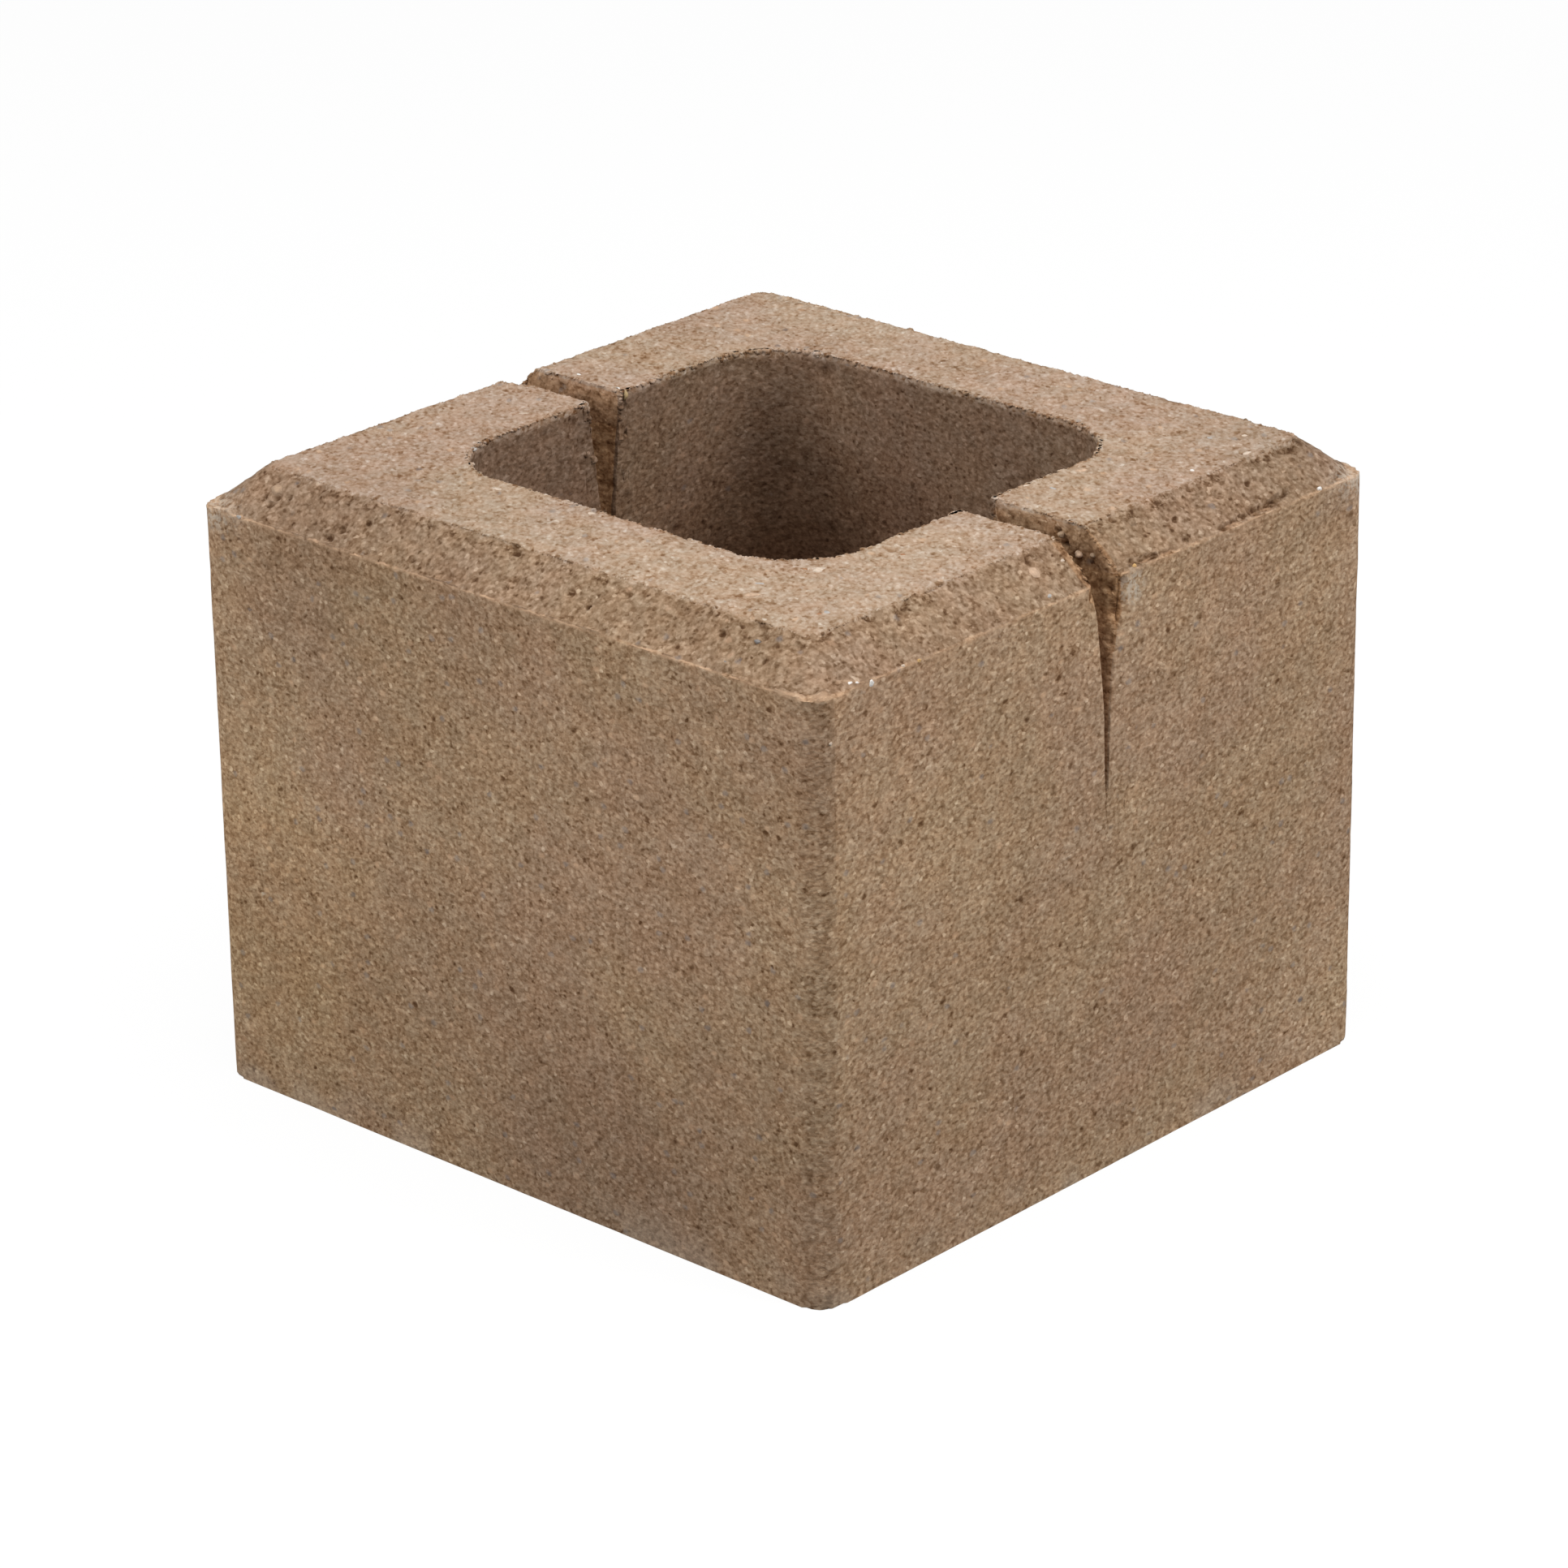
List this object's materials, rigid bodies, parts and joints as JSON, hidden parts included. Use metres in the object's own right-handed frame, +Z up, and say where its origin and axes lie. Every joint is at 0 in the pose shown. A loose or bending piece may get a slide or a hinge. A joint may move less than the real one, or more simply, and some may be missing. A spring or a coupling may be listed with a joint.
{
  "type": "fence block",
  "caption": "Square hollow fence block of pressed concrete with a chamfered top, a rounded through core and V slots in two opposite walls.",
  "frame": {"origin": "middle of the underside, on the floor", "axes": "+Z up towards the chamfered top face, X through the two slotted walls, Y through the two plain walls"},
  "size_m": [0.25, 0.25, 0.2],
  "materials": {
    "concrete": "pressed, fine-grained, through-coloured sandy brown"
  },
  "bodies": {
    "root": {"block": "concrete"}
  },
  "joints": []
}
